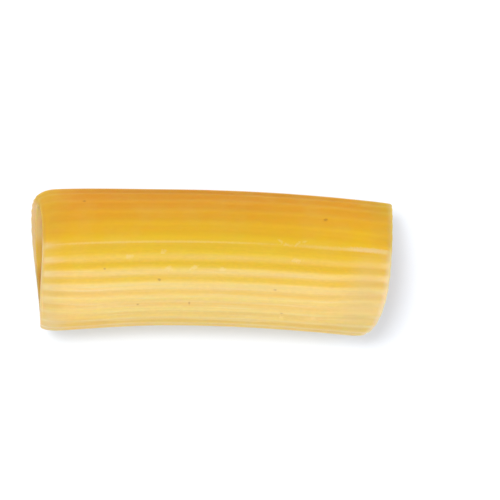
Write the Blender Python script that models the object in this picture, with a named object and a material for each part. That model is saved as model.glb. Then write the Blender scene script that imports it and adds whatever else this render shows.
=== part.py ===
"""One short ridged tube of dried pasta, slightly bent, lying on its side with the bend flat on the floor."""

import math
from collections import namedtuple

import bmesh
import bpy
from mathutils import Matrix, Vector

MM = 0.001

# Section across the tube, in mm.
CREST_DIAMETER = 16.0
RIDGE_COUNT = 29
RIDGE_HEIGHT = 0.13
CREST_FROM_TOP = math.radians(1.1)
WALL_AT_CREST = 1.25
POINTS_PER_RIDGE = 8
BORE_POINTS_PER_RIDGE = 3

# Run of the tube, in mm. The middle of the tube bulges toward +Y.
BEND_RADIUS = 220.0
RIDGE_TWIST = math.radians(-2.4)
STATION_REACH = 16.0
STATION_COUNT = 9

# Each knife cut leans: it is the plane x = x0 + lean_y * y + lean_z * z from the tube's axis, in mm.
# Its rim dried a little warped, furthest out at warp_angle from the top and on the opposite side.
# The rim is tucked in by tuck all round and by pinch more at pinch_angle.
# The bore's edge is set back from the rim's outer edge by lip at lip_angle.
# Angles are measured from the top, positive toward -Y.
Cut = namedtuple("Cut", "side x0 lean_y lean_z warp warp_angle tuck pinch pinch_angle lip lip_angle")
RIGHT_CUT = Cut(
    side=1,
    x0=20.30,
    lean_y=0.193,
    lean_z=0.161,
    warp=0.498,
    warp_angle=math.radians(44.8),
    tuck=0.0,
    pinch=0.15,
    pinch_angle=math.radians(90.0),
    lip=0.0,
    lip_angle=0.0,
)
LEFT_CUT = Cut(
    side=-1,
    x0=-19.74,
    lean_y=-0.072,
    lean_z=0.133,
    warp=0.277,
    warp_angle=math.radians(-40.4),
    tuck=0.40,
    pinch=0.42,
    pinch_angle=math.radians(-95.0),
    lip=0.45,
    lip_angle=math.radians(-125.0),
)
WARP_REACH = 7.0
TUCK_REACH = 2.8
TUCK_STATIONS = (0.4, 1.1, 2.0)
PINCH_HALF_WIDTH = math.radians(60.0)
LIP_HALF_WIDTH = math.radians(90.0)

# The left end opened out sideways into an oval as it was cut, in mm.
OVAL_GROWTH = 0.34
OVAL_REACH = 16.0

# Clearances, in mm.
BLANK_OVERHANG = 3.0
WELD_DISTANCE = 0.001
CUT_TOLERANCE = 0.0001

SHARP_ANGLE = math.radians(40.0)
PASTA_COLOUR = (0.79, 0.44, 0.06, 1.0)
PASTA_ROUGHNESS = 0.38

CREST_RADIUS = CREST_DIAMETER / 2
MEAN_RADIUS = CREST_RADIUS - RIDGE_HEIGHT / 2
VALLEY_RADIUS = CREST_RADIUS - RIDGE_HEIGHT
BORE_RADIUS = CREST_RADIUS - WALL_AT_CREST
BLANK_HALF_LENGTH = RIGHT_CUT.x0 + BLANK_OVERHANG


def clear_scene():
    for obj in list(bpy.data.objects):
        bpy.data.objects.remove(obj, do_unlink=True)


def ring(count, radius_at):
    """Points round the axis as (across, up), starting at the top of the tube."""
    angles = [2 * math.pi * i / count for i in range(count)]
    return [(radius_at(a) * math.sin(a), radius_at(a) * math.cos(a)) for a in angles]


def ridged_outline():
    count = RIDGE_COUNT * POINTS_PER_RIDGE
    half_height = RIDGE_HEIGHT / 2
    return ring(count, lambda a: MEAN_RADIUS + half_height * math.cos(RIDGE_COUNT * (a - CREST_FROM_TOP)))


def bore_outline():
    return ring(RIDGE_COUNT * BORE_POINTS_PER_RIDGE, lambda a: BORE_RADIUS)


def add_outline(curve, outline):
    spline = curve.splines.new("POLY")
    spline.points.add(len(outline) - 1)
    for point, (across, up) in zip(spline.points, outline):
        point.co = (across * MM, up * MM, 0.0, 1.0)
    spline.use_cyclic_u = True


def extruded_blank(name):
    """The section pushed out along X, straight and over-long, as a bmesh."""
    curve = bpy.data.curves.new(name, "CURVE")
    curve.dimensions = "2D"
    curve.fill_mode = "BOTH"
    curve.extrude = BLANK_HALF_LENGTH * MM
    add_outline(curve, ridged_outline())
    add_outline(curve, bore_outline())
    profile = bpy.data.objects.new(name, curve)
    bpy.context.scene.collection.objects.link(profile)
    across_up_along = Matrix(((0, 0, 1, 0), (1, 0, 0, 0), (0, 1, 0, 0), (0, 0, 0, 1)))
    profile.matrix_world = across_up_along
    graph = bpy.context.evaluated_depsgraph_get()
    mesh = bpy.data.meshes.new_from_object(profile.evaluated_get(graph))
    bm = bmesh.new()
    bm.from_mesh(mesh)
    bm.transform(across_up_along)
    bmesh.ops.remove_doubles(bm, verts=bm.verts, dist=WELD_DISTANCE * MM)
    bpy.data.meshes.remove(mesh)
    bpy.data.objects.remove(profile, do_unlink=True)
    bpy.data.curves.remove(curve)
    return bm


def split(bm, point, normal, drop_beyond=False):
    """Splits the mesh along a plane, and drops the side the normal points to if asked."""
    everything = bm.verts[:] + bm.edges[:] + bm.faces[:]
    bmesh.ops.bisect_plane(
        bm,
        geom=everything,
        dist=CUT_TOLERANCE * MM,
        plane_co=point,
        plane_no=normal,
        clear_outer=drop_beyond,
    )


def add_stations(bm):
    """Rings of points along the straight blank, so that it can be bent."""
    for i in range(STATION_COUNT):
        along = STATION_REACH * (2 * i / (STATION_COUNT - 1) - 1)
        split(bm, Vector((along * MM, 0, 0)), Vector((1, 0, 0)))


def twist_and_bend(bm):
    radius = BEND_RADIUS * MM
    for vert in bm.verts:
        along, across, up = vert.co
        turn = RIDGE_TWIST * along / ((RIGHT_CUT.x0 - LEFT_CUT.x0) * MM)
        twisted_across = across * math.cos(turn) - up * math.sin(turn)
        twisted_up = across * math.sin(turn) + up * math.cos(turn)
        swing = along / radius
        x = (radius + twisted_across) * math.sin(swing)
        y = (radius + twisted_across) * math.cos(swing) - radius
        vert.co = (x, y, twisted_up)


def close_cut(bm):
    """Fills the ring of wall that a knife cut leaves open."""
    rim = [edge for edge in bm.edges if edge.is_boundary]
    bmesh.ops.triangle_fill(bm, use_beauty=True, use_dissolve=False, edges=rim)


def knife_cut(bm, cut):
    outward = Vector((1.0, -cut.lean_y, -cut.lean_z)).normalized() * cut.side
    split(bm, Vector((cut.x0 * MM, 0, 0)), outward, drop_beyond=True)
    close_cut(bm)


def cut_ends(bm):
    knife_cut(bm, RIGHT_CUT)
    knife_cut(bm, LEFT_CUT)
    inward = Vector((1.0, -LEFT_CUT.lean_y, -LEFT_CUT.lean_z)).normalized()
    for depth in TUCK_STATIONS:
        split(bm, Vector(((LEFT_CUT.x0 + depth) * MM, 0, 0)), inward)


def fade(depth, reach):
    """1 at the rim, falling smoothly to 0 at this depth into the tube."""
    share = min(max(depth / reach, 0.0), 1.0)
    return 0.5 + 0.5 * math.cos(math.pi * share)


def steep_fade(depth, reach):
    return max(1.0 - max(depth, 0.0) / reach, 0.0) ** 3


def depth_behind(cut, x, y, up):
    return cut.side * (cut.x0 + cut.lean_y * y + cut.lean_z * up - x)


def centreline(x):
    return math.sqrt(BEND_RADIUS**2 - x**2) - BEND_RADIUS


def angle_from_top(x, y, up):
    """Angle round the bent centreline, positive toward -Y."""
    return math.atan2(centreline(x) - y, up)


def bump_share(angle, centre, half_width):
    """1 at this angle round the tube, falling to 0 on both sides of it."""
    share = min(abs(math.remainder(angle - centre, 2 * math.pi)) / half_width, 1.0)
    return math.cos(math.pi / 2 * share) ** 2


def lean_lip(bm, cut):
    """Sets the bore's edge back, so that the cut face shows on this side."""
    for vert in bm.verts:
        x, y, up = vert.co / MM
        radius = math.hypot(y - centreline(x), up)
        inner = min(max((VALLEY_RADIUS - radius) / (VALLEY_RADIUS - BORE_RADIUS), 0.0), 1.0)
        strength = inner * steep_fade(depth_behind(cut, x, y, up), TUCK_REACH)
        share = bump_share(angle_from_top(x, y, up), cut.lip_angle, LIP_HALF_WIDTH)
        vert.co.x -= cut.side * cut.lip * strength * share * MM


def warp_rim(bm, cut):
    for vert in bm.verts:
        x, y, up = vert.co / MM
        angle = angle_from_top(x, y, up)
        wave = math.cos(2 * (angle - cut.warp_angle))
        vert.co.x += cut.warp * wave * fade(depth_behind(cut, x, y, up), WARP_REACH) * MM


def open_left_end(bm):
    """Widens the left end and lowers it by as much, so that it is an oval."""
    for vert in bm.verts:
        x, y, up = vert.co / MM
        angle = angle_from_top(x, y, up)
        growth = OVAL_GROWTH * fade(depth_behind(LEFT_CUT, x, y, up), OVAL_REACH)
        vert.co.y -= growth * math.sin(angle) * MM
        vert.co.z -= growth * math.cos(angle) * MM


def tuck_rim(bm, cut):
    for vert in bm.verts:
        x, y, up = vert.co / MM
        angle = angle_from_top(x, y, up)
        strength = steep_fade(depth_behind(cut, x, y, up), TUCK_REACH)
        pinch = cut.pinch * bump_share(angle, cut.pinch_angle, PINCH_HALF_WIDTH)
        inward = strength * (cut.tuck + pinch)
        vert.co.y += inward * math.sin(angle) * MM
        vert.co.z -= inward * math.cos(angle) * MM


def lay_on_floor(bm):
    """Puts the lowest ridge at z = 0 and the middle of the footprint at the origin."""
    low = Vector([min(vert.co[i] for vert in bm.verts) for i in range(3)])
    high = Vector([max(vert.co[i] for vert in bm.verts) for i in range(3)])
    middle = (low + high) / 2
    bmesh.ops.translate(bm, verts=bm.verts, vec=(-middle.x, -middle.y, -low.z))


def pasta_material():
    material = bpy.data.materials.new("dried_pasta")
    material.use_nodes = True
    shader = material.node_tree.nodes["Principled BSDF"]
    shader.inputs["Base Color"].default_value = PASTA_COLOUR
    shader.inputs["Roughness"].default_value = PASTA_ROUGHNESS
    shader.inputs["Metallic"].default_value = 0.0
    material.diffuse_color = PASTA_COLOUR
    return material


def build_tube(collection):
    bm = extruded_blank("rigatoni_profile")
    add_stations(bm)
    twist_and_bend(bm)
    cut_ends(bm)
    lean_lip(bm, LEFT_CUT)
    open_left_end(bm)
    for cut in (RIGHT_CUT, LEFT_CUT):
        warp_rim(bm, cut)
        tuck_rim(bm, cut)
    lay_on_floor(bm)
    bmesh.ops.recalc_face_normals(bm, faces=bm.faces)
    mesh = bpy.data.meshes.new("rigatoni_tube")
    bm.to_mesh(mesh)
    bm.free()
    mesh.materials.append(pasta_material())
    mesh.shade_smooth()
    mesh.set_sharp_from_angle(angle=SHARP_ANGLE)
    tube = bpy.data.objects.new("rigatoni_tube", mesh)
    collection.objects.link(tube)


def main():
    clear_scene()
    collection = bpy.data.collections.new("rigatoni")
    bpy.context.scene.collection.children.link(collection)
    build_tube(collection)


main()
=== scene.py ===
"""The look of one dried rigatoni tube.

It makes a fine skin over the CAD tube, the dried dough's material, a camera and soft studio light.
"""

import math
from collections import namedtuple

import bpy
import numpy as np
from mathutils import Matrix, Vector

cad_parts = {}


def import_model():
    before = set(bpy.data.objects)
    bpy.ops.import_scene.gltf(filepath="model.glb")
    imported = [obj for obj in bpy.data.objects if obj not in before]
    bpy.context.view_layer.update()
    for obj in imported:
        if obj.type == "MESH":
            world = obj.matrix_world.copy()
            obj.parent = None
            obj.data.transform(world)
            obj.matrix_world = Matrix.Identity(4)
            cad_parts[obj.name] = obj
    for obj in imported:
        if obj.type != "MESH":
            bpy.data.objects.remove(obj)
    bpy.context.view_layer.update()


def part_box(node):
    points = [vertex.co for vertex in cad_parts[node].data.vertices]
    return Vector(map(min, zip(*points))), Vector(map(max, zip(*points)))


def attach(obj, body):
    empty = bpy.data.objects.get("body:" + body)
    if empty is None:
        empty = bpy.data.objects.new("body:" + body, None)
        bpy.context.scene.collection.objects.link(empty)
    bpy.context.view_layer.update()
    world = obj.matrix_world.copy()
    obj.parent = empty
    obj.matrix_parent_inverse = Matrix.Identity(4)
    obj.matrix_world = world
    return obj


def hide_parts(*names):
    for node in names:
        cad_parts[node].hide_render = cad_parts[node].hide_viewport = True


MM = 0.001
NODE = "rigatoni_tube"
SKIN = "pasta_skin"
FLOOR = "floor"
MAP_NAME = "along_and_round"

# The tube's shape, in mm, with the same values and formulas as the CAD part.
CREST_RADIUS = 8.0
RIDGE_COUNT = 29
RIDGE_HEIGHT = 0.13
WALL_AT_CREST = 1.25
BEND_RADIUS = 220.0
CREST_FROM_TOP = math.radians(1.1)
RIDGE_TWIST = math.radians(-2.4)

Cut = namedtuple("Cut", "side x0 lean_y lean_z warp warp_angle tuck pinch pinch_angle lip lip_angle")
RIGHT_CUT = Cut(
    side=1,
    x0=20.30,
    lean_y=0.193,
    lean_z=0.161,
    warp=0.498,
    warp_angle=math.radians(44.8),
    tuck=0.0,
    pinch=0.15,
    pinch_angle=math.radians(90.0),
    lip=0.0,
    lip_angle=0.0,
)
LEFT_CUT = Cut(
    side=-1,
    x0=-19.74,
    lean_y=-0.072,
    lean_z=0.133,
    warp=0.277,
    warp_angle=math.radians(-40.4),
    tuck=0.40,
    pinch=0.42,
    pinch_angle=math.radians(-95.0),
    lip=0.45,
    lip_angle=math.radians(-125.0),
)
WARP_REACH = 7.0
TUCK_REACH = 2.8
PINCH_HALF_WIDTH = math.radians(60.0)
LIP_HALF_WIDTH = math.radians(90.0)
OVAL_GROWTH = 0.34
OVAL_REACH = 16.0

# How the knife pushes the ridges round the tube near each end, which only the fine skin has.
Push = namedtuple("Push", "turn centre half_width reach")
RIGHT_PUSH = Push(math.radians(4.4), math.radians(-35.0), math.radians(60.0), 8.2)
LEFT_PUSH = Push(math.radians(3.2), math.radians(-45.0), math.radians(55.0), 7.0)

MEAN_RADIUS = CREST_RADIUS - RIDGE_HEIGHT / 2
VALLEY_RADIUS = CREST_RADIUS - RIDGE_HEIGHT
BORE_RADIUS = CREST_RADIUS - WALL_AT_CREST

# The fine skin, in mm.
POINTS_PER_RIDGE = 14
OUTER_RINGS = 96
BORE_RINGS = 40
CUT_RINGS = 7
FILLET_RINGS = 4
OUTER_FILLET = 0.20
BORE_FILLET = 0.12
RIDGE_SQUASH = 0.175
RIDGE_SQUASH_REACH = 0.6
CUT_SEARCH_STEPS = 8

# One ring of the skin: how far it lies from the left cut (0) to the right cut (1), how deep behind that
# cut, how far in from the ridged outline, its share of the way from outside to bore, and its zone.
Ring = namedtuple("Ring", "mix depth offset share zone")
OUTER, FACE, BORE = 0.0, 1.0, 2.0

# The camera. Lengths in mm.
CAMERA_DISTANCE = 300.0
CAMERA_TILT = math.radians(3.4)
CAMERA_ROLL = -0.0263
CAMERA_RIGHT = 4.90
CAMERA_UP = 1.58
PIXELS_PER_MM = 8.5185
IMAGE_PIXELS = 500
SENSOR_WIDTH = 36.0
CLIP_START = 0.01
CLIP_END = 20.0

# Colours, as linear red, green and blue.
WHITE = (1.0, 1.0, 1.0, 1.0)
# Amber: the colour of the far side's painted shade, and of random streaks.
AMBER = (0.74, 0.315, 0.02, 1.0)
FAR_EDGE_SHADE = (0.60, 0.235, 0.008, 1.0)
NEAR_EDGE_SHADE = (0.74, 0.49, 0.09, 1.0)
YELLOW = (0.875, 0.568, 0.006, 1.0)
# Painted shade and painted light for the two sides of each ridge.
PAINTED_FLANK_SHADE = (0.70, 0.44, 0.06, 1.0)
PAINTED_FLANK_LIGHT = (0.97, 0.68, 0.17, 1.0)
STRAW = (0.845, 0.59, 0.145, 1.0)
CUT_FACE = (0.77, 0.485, 0.21, 1.0)
# Painted shade, low on the near side of the cut faces and the bore's mouth.
SHADE_BROWN = (0.50, 0.31, 0.10, 1.0)
GOLDEN = (0.70, 0.435, 0.03, 1.0)
DRY_AND_HIGHLIGHT = (0.78, 0.56, 0.16, 1.0)
END_SHADE = (0.90, 0.94, 0.96, 1.0)
RIM_PALE = (0.75, 0.575, 0.33, 1.0)
# Painted highlight, where the bright ridge line widens near the ends.
HIGHLIGHT_PALE = (0.87, 0.64, 0.33, 1.0)
RIM_OLIVE = (0.64, 0.435, 0.115, 1.0)
BORE_WALL = (0.93, 0.62, 0.16, 1.0)
# Painted light, in the bore's mouth on the far side.
BORE_PAINTED_LIGHT = (0.99, 0.745, 0.46, 1.0)
FAR_RIM = (0.66, 0.37, 0.05, 1.0)
BRAN = (0.36, 0.12, 0.01, 1.0)
PALE_CREAM = (0.93, 0.80, 0.50, 1.0)
# Pale crumbs for the scuffs, and the painted highlight line along the tube.
CRUMB_AND_HIGHLIGHT = (0.96, 0.70, 0.26, 1.0)
# Painted light and painted shade for the drawn lines' fine relief.
LINE_RELIEF_LIGHT = (1.025, 1.022, 1.01, 1.0)
LINE_RELIEF_SHADE = (0.965, 0.97, 0.98, 1.0)
FLOOR_COLOUR = (0.51, 0.54, 0.59, 1.0)

# Noise over the dough. A stretch below 1 draws it out along the tube.
Pattern = namedtuple("Pattern", "scale detail stretch")
DRAWN_LINES = Pattern(3.2, 3.0, 0.04)
DRIFT = Pattern(0.35, 2.0, 0.3)
STREAKS = Pattern(2.2, 3.0, 0.05)
LONG_LINE_RELIEF = Pattern(2.8, 4.0, 0.03)
SHORT_LINE_RELIEF = Pattern(4.5, 2.0, 0.35)
GRAIN = Pattern(9.0, 3.0, 1.0)
MOTTLE = Pattern(300.0, 3.0, 1.0)
RAGGED_EDGE = Pattern(4.0, 2.0, 1.0)

# Small marks on the dough: mm along the tube, degrees from the top toward -Y, size in mm, tilt in degrees.
Mark = namedtuple("Mark", "along from_top length width tilt")
BRAN_SPECKS = (
    Mark(-13.8, -51.6, 0.50, 0.42, 0),
    Mark(13.5, -36.5, 0.50, 0.40, 20),
    Mark(-11.5, 10.9, 0.36, 0.22, 0),
    Mark(-5.2, 21.5, 0.50, 0.30, -20),
    Mark(8.3, 28.3, 0.42, 0.20, 0),
    Mark(-1.7, 44.8, 0.26, 0.50, 0),
    Mark(-7.8, 45.3, 0.36, 0.26, 0),
    Mark(9.3, 52.7, 0.36, 0.24, 0),
)
SCUFFS = (
    Mark(8.6, -13.0, 1.20, 0.30, -40),
    Mark(9.3, -10.8, 0.70, 0.28, -20),
    Mark(10.6, -12.2, 0.90, 0.30, 45),
    Mark(11.3, -14.0, 0.70, 0.30, 15),
    Mark(-4.7, -1.6, 0.90, 0.60, 40),
    Mark(-8.6, 2.0, 1.00, 0.50, 0),
    Mark(-4.1, 12.0, 0.90, 0.60, 0),
    Mark(-1.2, 11.2, 1.10, 0.45, 20),
    Mark(2.1, 12.4, 0.80, 0.60, 0),
    Mark(10.6, 2.2, 1.30, 0.50, 5),
    Mark(9.3, 58.2, 0.60, 0.60, 0),
    Mark(13.1, 56.3, 0.70, 0.50, 0),
)
# Painted highlight: the thin bright line along the tube on the ridge flank at -10.3 degrees.
HIGHLIGHT_LINES = (
    Mark(-6.5, -10.3, 32.0, 0.28, 0),
    Mark(15.0, -10.3, 12.0, 0.45, 0),
)
# Painted highlight: the same line, wider and paler near both ends.
WIDE_HIGHLIGHT_ENDS = (
    Mark(19.5, -11.2, 7.5, 0.62, 0),
    Mark(-19.6, -9.8, 3.6, 1.05, 0),
)
FINE_LINES = (
    Mark(-3.0, 29.3, 36.0, 0.30, 0),
    Mark(4.0, 43.2, 34.0, 0.32, 0),
)
MarkKind = namedtuple("MarkKind", "marks ragged strength colour")
MARK_KINDS = (
    MarkKind(HIGHLIGHT_LINES, 0.9, 0.34, CRUMB_AND_HIGHLIGHT),
    MarkKind(WIDE_HIGHLIGHT_ENDS, 0.9, 0.70, HIGHLIGHT_PALE),
    MarkKind(FINE_LINES, 0.9, 0.06, PALE_CREAM),
    MarkKind(SCUFFS, 2.4, 0.35, CRUMB_AND_HIGHLIGHT),
    MarkKind(BRAN_SPECKS, 1.5, 0.50, BRAN),
)
# A mark fades out between these shares of its own size.
MARK_OUTSIDE = 1.3
MARK_INSIDE = 0.3

# Bands of the tube, as the sine of the angle from the top: -1 at the far edge and 1 at the near edge.
TOWARD_NEAR = (-0.35, -0.1)
TOWARD_FAR = (-0.1, -0.35)
TOWARD_LIT = (-0.3, 0.1)

# The dough's surface and body.
REFRACTION = 1.5
SPECULAR_LEVEL = 0.25
COAT_ROUGHNESS = 0.12
ROUGH_FAR_SIDE = 0.75
ROUGH_NEAR_SIDE = 0.40
ROUGH_CUT = 0.9
COAT_WEIGHT = 0.5
BUMP_STRENGTH = 0.35
BUMP_DEPTH = 0.06 * MM
GRAIN_IN_BUMP = 0.4
LINES_IN_BUMP = 0.6
LIGHT_REACH = 2.5 * MM
LIGHT_REACH_BY_COLOUR = (1.0, 0.6, 0.2)

# The studio. Places and sizes in metres, and brightness as a multiple of white.
WORLD_DIFFUSE = 0.85
FLOOR_LIFT = 0.33
FLOOR_HALF = 2.0
LAMP_TARGET = (0.0, 0.0, 0.008)
Lamp = namedtuple("Lamp", "name place width height radiance seen_as only")
LAMPS = (
    Lamp("overhead_key", (-0.055, 0.055, 0.60), 0.12, 0.12, 7.0, "diffuse", None),
    Lamp("floor_key", (-0.084, 0.048, 0.60), 0.13, 0.13, 40.8, "diffuse", FLOOR),
    Lamp("top_card", (0.0, -0.079, 0.303), 0.60, 0.16, 1.3, "glossy", None),
    Lamp("high_card", (0.0, -0.212, 0.220), 0.60, 0.16, 2.6, "glossy", None),
    Lamp("low_card", (0.0, -0.290, 0.086), 0.60, 0.16, 2.0, "glossy", None),
    Lamp("near_fill", (0.0, -0.30, 0.06), 0.60, 0.20, 0.75, "diffuse", SKIN),
    Lamp("far_fill", (0.0, 0.30, 0.06), 0.60, 0.20, 0.37, "diffuse", SKIN),
)


def fade(depth, reach):
    """1 at no depth, easing to 0 at this reach."""
    share = np.clip(depth / reach, 0.0, 1.0)
    return 0.5 + 0.5 * np.cos(np.pi * share)


def steep_fade(depth, reach):
    """1 at no depth, dropping fast and then slowly to 0 at this reach."""
    return np.clip(1.0 - np.maximum(depth, 0.0) / reach, 0.0, None) ** 3


def bump_share(angle, centre, half_width):
    """1 at this angle round the tube, falling to 0 on both sides of it."""
    off_centre = np.abs((angle - centre + np.pi) % (2 * np.pi) - np.pi)
    return np.cos(np.pi / 2 * np.minimum(off_centre / half_width, 1.0)) ** 2


def depth_behind(cut, x, y, up):
    return cut.side * (cut.x0 + cut.lean_y * y + cut.lean_z * up - x)


def centreline(x):
    return np.sqrt(BEND_RADIUS**2 - x**2) - BEND_RADIUS


def angle_from_top(x, y, up):
    return np.arctan2(centreline(x) - y, up)


def twist_and_bend(along, across, up):
    turn = RIDGE_TWIST * along / (RIGHT_CUT.x0 - LEFT_CUT.x0)
    twisted_across = across * np.cos(turn) - up * np.sin(turn)
    twisted_up = across * np.sin(turn) + up * np.cos(turn)
    swing = along / BEND_RADIUS
    x = (BEND_RADIUS + twisted_across) * np.sin(swing)
    y = (BEND_RADIUS + twisted_across) * np.cos(swing) - BEND_RADIUS
    return x, y, twisted_up


def along_at_cut(cut, radius, angle):
    """How far along the straight tube each line parallel to its axis meets the knife's plane."""
    along = np.full_like(radius, cut.x0)
    for _ in range(CUT_SEARCH_STEPS):
        x, y, up = twist_and_bend(along, radius * np.sin(angle), radius * np.cos(angle))
        along = along + cut.side * depth_behind(cut, x, y, up)
    return along


def open_left_end(x, y, up):
    """Widens the left end and lowers it into an oval."""
    angle = angle_from_top(x, y, up)
    growth = OVAL_GROWTH * fade(depth_behind(LEFT_CUT, x, y, up), OVAL_REACH)
    return x, y - growth * np.sin(angle), up - growth * np.cos(angle)


def warp_rim(cut, x, y, up):
    """Waves the rim along the tube, twice in one turn."""
    wave = np.cos(2 * (angle_from_top(x, y, up) - cut.warp_angle))
    return x + cut.warp * wave * fade(depth_behind(cut, x, y, up), WARP_REACH), y, up


def lean_lip(cut, x, y, up):
    """Sets the bore's edge back from the rim's outer edge."""
    radius = np.hypot(y - centreline(x), up)
    inner = np.clip((VALLEY_RADIUS - radius) / (VALLEY_RADIUS - BORE_RADIUS), 0.0, 1.0)
    strength = inner * steep_fade(depth_behind(cut, x, y, up), TUCK_REACH)
    share = bump_share(angle_from_top(x, y, up), cut.lip_angle, LIP_HALF_WIDTH)
    return x - cut.side * cut.lip * strength * share, y, up


def tuck_rim(cut, x, y, up):
    """Draws the rim in all round, and further where it is pinched."""
    angle = angle_from_top(x, y, up)
    strength = steep_fade(depth_behind(cut, x, y, up), TUCK_REACH)
    pinch = cut.pinch * bump_share(angle, cut.pinch_angle, PINCH_HALF_WIDTH)
    inward = strength * (cut.tuck + pinch)
    return x, y + inward * np.sin(angle), up - inward * np.cos(angle)


def shape_ends(x, y, up):
    x, y, up = lean_lip(LEFT_CUT, x, y, up)
    x, y, up = open_left_end(x, y, up)
    for cut in (RIGHT_CUT, LEFT_CUT):
        x, y, up = warp_rim(cut, x, y, up)
        x, y, up = tuck_rim(cut, x, y, up)
    return x, y, up


def cut_rings(mix):
    """The rings over one cut end, from its outer edge to its bore edge."""
    found = []
    for i in range(1, FILLET_RINGS + 1):
        turn = math.pi / 2 * i / FILLET_RINGS
        depth = OUTER_FILLET * (1 - math.sin(turn))
        zone = FACE if i == FILLET_RINGS else OUTER
        found.append(Ring(mix, depth, OUTER_FILLET * (1 - math.cos(turn)), 0.0, zone))
    for i in range(1, CUT_RINGS):
        share = i / CUT_RINGS
        offset = OUTER_FILLET - share * (OUTER_FILLET + BORE_FILLET)
        found.append(Ring(mix, 0.0, offset, share, FACE))
    for i in range(FILLET_RINGS):
        turn = math.pi / 2 * (1 - i / FILLET_RINGS)
        depth = BORE_FILLET * (1 - math.sin(turn))
        found.append(Ring(mix, depth, -BORE_FILLET * (1 - math.cos(turn)), 1.0, FACE))
    return found


def rings():
    """The rings of the closed skin in order: outside, right cut, bore, left cut."""
    found = []
    for i in range(OUTER_RINGS):
        mix = 0.5 - 0.5 * math.cos(math.pi * i / (OUTER_RINGS - 1))
        found.append(Ring(mix, OUTER_FILLET, 0.0, 0.0, OUTER))
    found += cut_rings(1.0)
    for i in range(BORE_RINGS):
        mix = 0.5 + 0.5 * math.cos(math.pi * i / (BORE_RINGS - 1))
        found.append(Ring(mix, BORE_FILLET, 0.0, 1.0, BORE))
    found += cut_rings(0.0)[::-1]
    return found


def pushed(push, angle, from_cut):
    """How far round the tube a ridge at this angle is pushed, this far from the cut."""
    return push.turn * bump_share(angle, push.centre, push.half_width) * fade(from_cut, push.reach)


def skin():
    """The skin's points in mm, ring by ring, their place on the map, and what the material reads there."""
    mix, depth, offset, share, zone = (np.array(column)[:, None] for column in zip(*rings()))
    count = RIDGE_COUNT * POINTS_PER_RIDGE
    angle = np.broadcast_to(2 * np.pi * np.arange(count) / count, (len(mix), count))
    ridge_turn = RIDGE_COUNT * (angle - CREST_FROM_TOP)
    ridge = RIDGE_HEIGHT / 2 * np.cos(ridge_turn)
    inset = offset + share * (MEAN_RADIUS + ridge - BORE_RADIUS)
    radius = MEAN_RADIUS + ridge - inset
    left = along_at_cut(LEFT_CUT, radius, angle + pushed(LEFT_PUSH, angle, 0.0))
    right = along_at_cut(RIGHT_CUT, radius, angle + pushed(RIGHT_PUSH, angle, 0.0))
    along = (1 - mix) * (left + depth) + mix * (right - depth)
    from_rim = np.minimum(along - left, right - along)
    turned = angle + pushed(LEFT_PUSH, angle, along - left) + pushed(RIGHT_PUSH, angle, right - along)
    squash = RIDGE_SQUASH * np.exp(-((from_rim / RIDGE_SQUASH_REACH) ** 2))
    radius = radius - (1 - share) * squash * (RIDGE_HEIGHT / 2 + ridge)
    x, y, up = twist_and_bend(along, radius * np.sin(turned), radius * np.cos(turned))
    x, y, up = shape_ends(x, y, up)
    facts = {
        "from_rim": from_rim,
        "zone": np.broadcast_to(zone, angle.shape),
        "round": np.sin(angle_from_top(x, y, up)),
        "above": np.cos(angle_from_top(x, y, up)),
        "flank": -np.sin(ridge_turn),
        "crest": np.cos(ridge_turn),
    }
    return np.stack([x, y, up], axis=-1), along + inset, angle * CREST_RADIUS, facts


def quads(ring_count, round_count):
    i = np.arange(ring_count)[:, None]
    j = np.arange(round_count)[None, :]
    after_i = (i + 1) % ring_count
    after_j = (j + 1) % round_count
    corners = [
        i * round_count + j,
        after_i * round_count + j,
        after_i * round_count + after_j,
        i * round_count + after_j,
    ]
    return np.stack(np.broadcast_arrays(*corners), axis=-1).reshape(-1, 4)


def add_uv(mesh, faces, along, around, round_count):
    """A map in mm: u runs along the tube and v round it."""
    u = along.reshape(-1)[faces]
    v = around.reshape(-1)[faces]
    wraps = (faces % round_count).max(axis=1) - (faces % round_count).min(axis=1) > 1
    full_turn = 2 * np.pi * CREST_RADIUS
    v = np.where(wraps[:, None] & (v < full_turn / 2), v + full_turn, v)
    layer = mesh.uv_layers.new(name=MAP_NAME)
    layer.data.foreach_set("uv", np.stack([u, v], axis=-1).astype(np.float32).reshape(-1))


def fit_to_node(points):
    """Puts the skin where the CAD node is, no larger than the node's box."""
    low, high = (np.array(corner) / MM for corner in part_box(NODE))
    lowest = points.min(axis=(0, 1))
    highest = points.max(axis=(0, 1))
    scale = min(1.0, ((high - low) / (highest - lowest)).min())
    return (points - (lowest + highest) / 2) * scale + (low + high) / 2


def add_object(name, mesh):
    added = bpy.data.objects.new(name, mesh)
    bpy.context.scene.collection.objects.link(added)
    return added


def tube_object():
    points, along, around, facts = skin()
    ring_count, round_count = points.shape[:2]
    points = fit_to_node(points)
    faces = quads(ring_count, round_count)
    mesh = bpy.data.meshes.new(SKIN)
    mesh.from_pydata((points.reshape(-1, 3) * MM).tolist(), [], faces.tolist())
    for name, values in facts.items():
        attribute = mesh.attributes.new(name, "FLOAT", "POINT")
        attribute.data.foreach_set("value", values.astype(np.float32).reshape(-1))
    add_uv(mesh, faces, along, around, round_count)
    mesh.shade_smooth()
    mesh.update()
    return add_object(SKIN, mesh)


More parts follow.
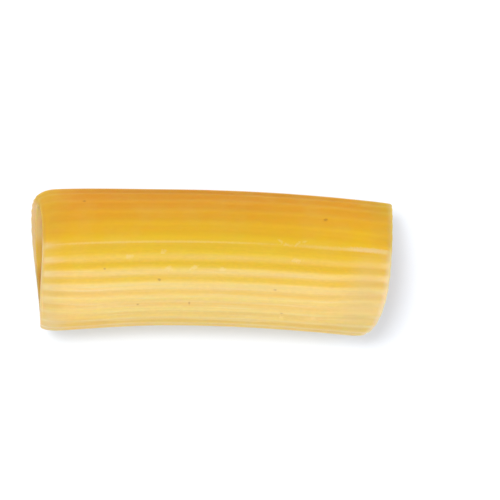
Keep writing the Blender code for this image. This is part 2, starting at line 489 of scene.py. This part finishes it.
class Nodes:
    """A short way to write the node tree of a material or world."""

    def __init__(self, owner):
        owner.use_nodes = True
        self.tree = owner.node_tree
        self.tree.nodes.clear()

    def add(self, kind, inputs=None, **settings):
        node = self.tree.nodes.new(kind)
        for name, value in settings.items():
            setattr(node, name, value)
        for key, value in (inputs or {}).items():
            if isinstance(value, bpy.types.NodeSocket):
                self.tree.links.new(value, node.inputs[key])
            else:
                node.inputs[key].default_value = value
        return node

    def fact(self, name):
        return self.add("ShaderNodeAttribute", attribute_name=name).outputs["Fac"]

    def math(self, operation, a, b):
        return self.add("ShaderNodeMath", {0: a, 1: b}, operation=operation).outputs[0]

    def times(self, product, *factors):
        for factor in factors:
            product = self.math("MULTIPLY", product, factor)
        return product

    def ramp(self, value, start, end, at_start=0.0, at_end=1.0):
        """A smooth step from one result to the other as the value goes from start to end."""
        inputs = {0: value, 1: start, 2: end, 3: at_start, 4: at_end}
        return self.add("ShaderNodeMapRange", inputs, interpolation_type="SMOOTHSTEP").outputs[0]

    def mix(self, factor, a, b, blend="MIX"):
        node = self.add("ShaderNodeMix", {0: factor, 6: a, 7: b}, data_type="RGBA", blend_type=blend)
        return node.outputs[2]

    def noise(self, vector, pattern):
        stretch = {"Vector": vector, "Scale": (pattern.stretch, 1.0, 1.0)}
        mapped = self.add("ShaderNodeMapping", stretch).outputs[0]
        inputs = {"Vector": mapped, "Scale": pattern.scale, "Detail": pattern.detail}
        return self.add("ShaderNodeTexNoise", inputs).outputs["Fac"]


# What the dough's material reads at a point. side is -1 at the far edge and 1 at the near edge, and above
# is 1 on top and -1 below. flank is 1 on a ridge's far side and -1 on its near side, and crest is 1 on a
# ridge and -1 in a groove. left_end and right_end rise to 1 at that cut, and contrast scales the ridges.
Surface = namedtuple(
    "Surface", "uv place along side above flank crest zone from_rim left_end right_end contrast"
)


def read_surface(n):
    uv = n.add("ShaderNodeUVMap", uv_map=MAP_NAME).outputs[0]
    place = n.add("ShaderNodeTexCoord").outputs["Object"]
    along = n.add("ShaderNodeSeparateXYZ", {0: uv}).outputs["X"]
    from_rim = n.fact("from_rim")
    left_end = n.times(n.ramp(from_rim, 4.0, 1.0), n.ramp(along, 0.0, -6.0))
    right_end = n.times(n.ramp(from_rim, 8.0, 1.5), n.ramp(along, 0.0, 6.0))
    left_contrast = n.ramp(left_end, 0.0, 1.0, at_start=1.0, at_end=1.5)
    right_contrast = n.ramp(right_end, 0.0, 1.0, at_start=0.0, at_end=-0.6)
    return Surface(
        uv=uv,
        place=place,
        along=along,
        side=n.fact("round"),
        above=n.fact("above"),
        flank=n.fact("flank"),
        crest=n.fact("crest"),
        zone=n.fact("zone"),
        from_rim=from_rim,
        left_end=left_end,
        right_end=right_end,
        contrast=n.math("ADD", left_contrast, right_contrast),
    )


def painted_light_share(n, s):
    """How far painted light turns the dough to straw: more toward the near, lit edge, with painted
    highlights on each ridge's far side.
    """
    on_top = n.ramp(s.along, 0.0, 12.0, at_start=0.165, at_end=0.22)
    rising = n.ramp(s.side, 0.0, 1.0, at_start=on_top, at_end=0.32)
    falling = n.ramp(s.side, 0.68, 0.9, at_start=1.0, at_end=0.1)
    drift = n.ramp(n.noise(s.uv, DRIFT), 0.3, 0.7, at_start=0.7, at_end=1.3)
    flank_share = n.times(rising, falling, n.times(drift, s.contrast))
    pale = n.math("ADD", s.side, n.times(s.flank, flank_share))
    return n.ramp(pale, 0.05, 0.68)


def far_shade_share(n, s):
    """Painted shade: how far the dough turns to amber toward the far, unlit edge, less to the right and
    below.
    """
    fresh = n.times(s.right_end, n.ramp(s.side, -0.75, -0.4))
    return n.times(
        n.ramp(s.side, -0.02, -1.0),
        n.ramp(s.along, 2.0, 16.0, at_start=1.0, at_end=0.86),
        n.ramp(s.above, 0.25, -0.6, at_start=1.0, at_end=0.6),
        n.ramp(fresh, 0.0, 1.0, at_start=1.0, at_end=0.45),
    )


def broad_colour(n, s, lit_share):
    """The broad colours, from amber as painted shade at the far edge through yellow to straw as painted
    light near the near edge.
    """
    # Painted shade: a darker band along the upper part of the far edge.
    far_edge_shade = n.times(
        n.ramp(s.side, -0.82, -0.99),
        n.ramp(s.from_rim, 0.0, 12.0, at_start=0.1, at_end=0.75),
        n.ramp(s.above, -0.10, 0.20),
    )
    golden = n.times(n.ramp(s.from_rim, 4.5, 0.0, at_end=0.8), n.ramp(s.side, -0.1, -0.5))
    colour = n.mix(lit_share, YELLOW, STRAW)
    colour = n.mix(far_shade_share(n, s), colour, AMBER)
    colour = n.mix(far_edge_shade, colour, FAR_EDGE_SHADE)
    return n.mix(golden, colour, GOLDEN)


def shade_near_ridges(n, s, colour):
    """Painted shade and painted light on the two sides of each ridge toward the near edge, painted shade
    along the near edge, and pale crests below it.
    """
    flank_light_share = n.times(n.ramp(s.side, 0.35, 0.60), n.ramp(s.side, 0.92, 0.80), s.contrast)
    low_crest = n.times(n.ramp(s.above, 0.25, -0.5, at_end=0.40), n.ramp(s.crest, -0.6, 1.0))
    # Painted shade on one side of each ridge, and painted light on the other.
    colour = n.mix(n.times(flank_light_share, n.ramp(s.flank, 0.0, -1.0, at_end=0.4)), colour, PAINTED_FLANK_SHADE)
    colour = n.mix(n.times(flank_light_share, n.ramp(s.flank, 0.0, 1.0, at_end=0.6)), colour, PAINTED_FLANK_LIGHT)
    # Painted shade: a darker band along the near edge.
    colour = n.mix(n.ramp(s.side, 0.84, 0.99), colour, NEAR_EDGE_SHADE)
    return n.mix(low_crest, colour, STRAW)


def draw_lines(n, s, colour, lit_share, lines):
    """Soft mottling, and the fine lines that the die leaves along the dough, with painted highlights on
    them and painted light and shade of their relief on the lit side.
    """
    colour = n.mix(n.ramp(n.noise(s.place, MOTTLE), 0.45, 0.75, at_end=0.12), colour, STRAW)
    colour = n.mix(n.ramp(n.noise(s.uv, STREAKS), 0.5, 0.8, at_end=0.15), colour, AMBER)
    # Pale lines, as strong as the lit share: painted highlights.
    colour = n.mix(n.times(n.ramp(lines, 0.5, 0.72, at_end=0.22), lit_share), colour, PALE_CREAM)
    # Painted light and shade of the lines' fine relief, on the lit side only.
    line_relief = n.math("ADD", n.noise(s.uv, LONG_LINE_RELIEF), n.noise(s.uv, SHORT_LINE_RELIEF))
    relief_light_and_shade = n.mix(n.ramp(line_relief, 0.8, 1.2), LINE_RELIEF_LIGHT, LINE_RELIEF_SHADE)
    return n.mix(n.ramp(s.side, *TOWARD_LIT, at_start=0.3), colour, relief_light_and_shade, "MULTIPLY")


def inside_marks(n, uv, marks, ragged):
    """1 inside these small ellipses and 0 outside them, with edges as uneven as ragged says."""
    unevenness = n.times(n.math("SUBTRACT", n.noise(uv, RAGGED_EDGE), 0.5), ragged)
    inside = 0.0
    for mark in marks:
        around = math.radians(-mark.from_top) % (2 * math.pi) * CREST_RADIUS
        ellipse = {
            "Vector": uv,
            "Location": (mark.along, around, 0.0),
            "Rotation": (0.0, 0.0, math.radians(mark.tilt)),
            "Scale": (mark.length / 2, mark.width / 2, 1.0),
        }
        local = n.add("ShaderNodeMapping", ellipse, vector_type="TEXTURE").outputs[0]
        away = n.add("ShaderNodeVectorMath", {0: local}, operation="LENGTH").outputs["Value"]
        share = n.ramp(n.math("ADD", away, unevenness), MARK_OUTSIDE, MARK_INSIDE)
        inside = n.math("MAXIMUM", share, inside)
    return inside


def add_marks(n, s, colour):
    for kind in MARK_KINDS:
        share = n.times(inside_marks(n, s.uv, kind.marks, kind.ragged), kind.strength)
        colour = n.mix(share, colour, kind.colour)
    return colour


def dry_ends(n, s, colour):
    """The dough near both cuts: paler there, partly where it dried first and partly as painted highlights
    where the ridges' highlights widen, and darker near both ends as painted shade.
    """
    in_grooves = n.ramp(s.along, 0.0, 15.0, at_start=0.5)
    on_near_flank = n.ramp(s.from_rim, 2.5, 0.5, at_start=0.25, at_end=in_grooves)
    dry_and_highlight = n.times(
        n.ramp(s.from_rim, 3.0, 0.0, at_end=0.75),
        n.ramp(s.side, *TOWARD_NEAR),
        n.ramp(s.flank, -0.8, 0.8, at_start=on_near_flank),
    )
    dry_right = n.times(n.ramp(s.right_end, 0.3, 1.0, at_end=0.55), n.ramp(s.side, *TOWARD_LIT))
    far_right = n.times(n.ramp(s.side, -0.6, -0.9), s.right_end)
    either_side = n.math("ADD", n.ramp(s.side, 0.0, 0.4), far_right)
    shaded = n.times(either_side, n.math("ADD", s.left_end, s.right_end))
    low_left = n.times(s.left_end, n.ramp(s.side, 0.75, 0.92, at_end=0.35))
    # Paler near the cuts: partly dried dough, partly painted highlight on the near ridge flanks.
    colour = n.mix(n.math("MAXIMUM", dry_and_highlight, dry_right), colour, DRY_AND_HIGHLIGHT)
    # Painted shade: darker near both ends.
    colour = n.mix(shaded, colour, END_SHADE, "MULTIPLY")
    return n.mix(low_left, colour, RIM_PALE)


def worn_rims(n, s, colour):
    """The narrow bands along both outer edges: painted highlights on the ridge flanks next to the rims, a
    paler worn edge on the near side, darker bands along the rims on the far side and a paler one on the
    right rim's near side.
    """
    # Painted highlight: pale near-side ridge flanks just inside the rims.
    rim_highlight = n.times(
        n.ramp(s.from_rim, 1.8, 0.3, at_end=0.15),
        n.ramp(s.side, *TOWARD_NEAR),
        n.ramp(s.flank, 0.0, 0.9),
    )
    worn_edge = n.times(n.ramp(s.from_rim, 0.5, 0.0, at_end=0.6), n.ramp(s.side, -0.45, -0.1))
    right_rim = n.times(n.ramp(s.from_rim, 0.8, 0.2, at_end=0.85), s.right_end)
    left_rim = n.times(n.ramp(s.from_rim, 0.5, 0.1, at_end=0.8), s.left_end)
    colour = n.mix(rim_highlight, colour, PALE_CREAM)
    colour = n.mix(worn_edge, colour, CUT_FACE)
    colour = n.mix(n.times(right_rim, n.ramp(s.side, *TOWARD_FAR)), colour, RIM_OLIVE)
    colour = n.mix(n.times(left_rim, n.ramp(s.side, *TOWARD_FAR)), colour, FAR_RIM)
    return n.mix(n.times(right_rim, n.ramp(s.side, *TOWARD_NEAR)), colour, RIM_PALE)


def cut_and_bore(n, s, colour):
    """The cut faces and the bore, with painted shade low on the near side and painted light in the bore's
    mouth high on the far side.
    """
    # Painted shade, low on the near side.
    low_near_shade = n.times(n.ramp(s.above, 0.1, -0.3), n.ramp(s.side, -0.1, 0.3))
    golden = n.times(n.ramp(s.above, -0.3, 0.2), n.ramp(s.side, -0.2, -0.5))
    face = n.mix(golden, n.mix(low_near_shade, CUT_FACE, SHADE_BROWN), FAR_RIM)
    near_mouth = n.ramp(s.from_rim, 4.0, 0.5, at_end=0.7)
    bore = n.mix(n.times(near_mouth, low_near_shade), BORE_WALL, SHADE_BROWN)
    # Painted light in the bore near the mouth, high on the far side.
    bore = n.mix(n.times(near_mouth, n.ramp(s.side, -0.3, -0.6)), bore, BORE_PAINTED_LIGHT)
    colour = n.mix(n.ramp(s.zone, 0.2, 0.8), colour, face)
    return n.mix(n.ramp(s.zone, 1.2, 1.8), colour, bore)


def dough_bump(n, s, lines):
    grain = n.times(n.noise(s.uv, GRAIN), GRAIN_IN_BUMP)
    height = n.math("ADD", grain, n.times(lines, LINES_IN_BUMP))
    inputs = {"Strength": BUMP_STRENGTH, "Distance": BUMP_DEPTH, "Height": height}
    return n.add("ShaderNodeBump", inputs).outputs[0]


def dough_roughness(n, s):
    by_side = n.ramp(s.side, -0.7, -0.1, at_start=ROUGH_FAR_SIDE, at_end=ROUGH_NEAR_SIDE)
    return n.math("MAXIMUM", by_side, n.ramp(s.zone, 0.2, 1.0, at_end=ROUGH_CUT))


def dough_coat(n, s):
    """The gloss that the die leaves, on the near side of the outside only."""
    return n.times(
        n.ramp(s.side, -0.35, -0.05, at_end=COAT_WEIGHT),
        n.ramp(s.side, 0.80, 0.95, at_start=1.0, at_end=0.2),
        n.ramp(s.zone, 0.8, 0.2),
    )


def pasta_material():
    material = bpy.data.materials.new("dried_pasta")
    n = Nodes(material)
    s = read_surface(n)
    lines = n.noise(s.uv, DRAWN_LINES)
    lit_share = painted_light_share(n, s)
    colour = broad_colour(n, s, lit_share)
    colour = shade_near_ridges(n, s, colour)
    colour = draw_lines(n, s, colour, lit_share, lines)
    colour = add_marks(n, s, colour)
    colour = dry_ends(n, s, colour)
    colour = worn_rims(n, s, colour)
    colour = cut_and_bore(n, s, colour)
    bump = dough_bump(n, s, lines)
    shader = n.add(
        "ShaderNodeBsdfPrincipled",
        {
            "Base Color": colour,
            "Roughness": dough_roughness(n, s),
            "Normal": bump,
            "IOR": REFRACTION,
            "Specular IOR Level": SPECULAR_LEVEL,
            "Coat Weight": dough_coat(n, s),
            "Coat Roughness": COAT_ROUGHNESS,
            "Coat Normal": bump,
            "Subsurface Weight": 1.0,
            "Subsurface Radius": LIGHT_REACH_BY_COLOUR,
            "Subsurface Scale": LIGHT_REACH,
        },
    )
    n.add("ShaderNodeOutputMaterial", {"Surface": shader.outputs[0]})
    return material


def background_factor(n):
    """1 for camera, glossy and transmission rays, which see the white background."""
    path = n.add("ShaderNodeLightPath").outputs
    first = n.math("MAXIMUM", path["Is Camera Ray"], path["Is Glossy Ray"])
    return n.math("MAXIMUM", first, path["Is Transmission Ray"])


def floor_material():
    material = bpy.data.materials.new("studio_floor")
    n = Nodes(material)
    diffuse = n.add("ShaderNodeBsdfDiffuse", {"Color": FLOOR_COLOUR})
    glow = n.add("ShaderNodeEmission", {"Strength": n.times(background_factor(n), FLOOR_LIFT)})
    both = n.add("ShaderNodeAddShader", {0: diffuse.outputs[0], 1: glow.outputs[0]})
    n.add("ShaderNodeOutputMaterial", {"Surface": both.outputs[0]})
    return material


def add_floor():
    low, high = -FLOOR_HALF, FLOOR_HALF
    mesh = bpy.data.meshes.new(FLOOR)
    corners = [(low, low, 0), (high, low, 0), (high, high, 0), (low, high, 0)]
    mesh.from_pydata(corners, [], [(0, 1, 2, 3)])
    mesh.materials.append(floor_material())
    floor = add_object(FLOOR, mesh)


def set_world():
    world = bpy.data.worlds.new("studio")
    bpy.context.scene.world = world
    n = Nodes(world)
    strength = n.ramp(background_factor(n), 0.0, 1.0, at_start=WORLD_DIFFUSE)
    background = n.add("ShaderNodeBackground", {"Color": WHITE, "Strength": strength})
    n.add("ShaderNodeOutputWorld", {"Surface": background.outputs[0]})


def lights_only(lamp, lit):
    chosen = bpy.data.collections.new(lamp.name + "_lights")
    chosen.objects.link(lit)
    lamp.light_linking.receiver_collection = chosen


def add_lamp(spec):
    """A rectangular lamp, seen either in soft light or in gloss, and by one object only if it names one."""
    light = bpy.data.lights.new(spec.name, "AREA")
    light.shape = "RECTANGLE"
    light.size = spec.width
    light.size_y = spec.height
    light.energy = spec.radiance * math.pi * spec.width * spec.height
    lamp = add_object(spec.name, light)
    lamp.location = spec.place
    aim = Vector(LAMP_TARGET) - Vector(spec.place)
    lamp.rotation_euler = aim.to_track_quat("-Z", "Y").to_euler()
    lamp.visible_camera = False
    lamp.visible_diffuse = spec.seen_as == "diffuse"
    lamp.visible_glossy = spec.seen_as == "glossy"
    if spec.only:
        lights_only(lamp, bpy.data.objects[spec.only])


def add_camera():
    level_right = Vector((1, 0, 0))
    level_up = Vector((0, math.cos(CAMERA_TILT), math.sin(CAMERA_TILT)))
    back = level_right.cross(level_up)
    right = level_right * math.cos(CAMERA_ROLL) - level_up * math.sin(CAMERA_ROLL)
    up = level_right * math.sin(CAMERA_ROLL) + level_up * math.cos(CAMERA_ROLL)
    axis = Vector((0, 0, CREST_RADIUS))
    place = axis + level_right * CAMERA_RIGHT + level_up * CAMERA_UP + back * CAMERA_DISTANCE
    turned = Matrix((right, up, back)).transposed().to_4x4()
    lens = bpy.data.cameras.new("camera")
    lens.sensor_width = SENSOR_WIDTH
    lens.lens = SENSOR_WIDTH * CAMERA_DISTANCE / (IMAGE_PIXELS / PIXELS_PER_MM)
    lens.clip_start = CLIP_START
    lens.clip_end = CLIP_END
    camera = add_object("camera", lens)
    camera.matrix_world = Matrix.Translation(place * MM) @ turned
    bpy.context.scene.camera = camera


def main():
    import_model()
    scene = bpy.context.scene
    scene.view_settings.view_transform = "Standard"
    tube = tube_object()
    tube.data.materials.append(pasta_material())
    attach(tube, "root")
    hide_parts(NODE)
    add_floor()
    set_world()
    for spec in LAMPS:
        add_lamp(spec)
    add_camera()


main()
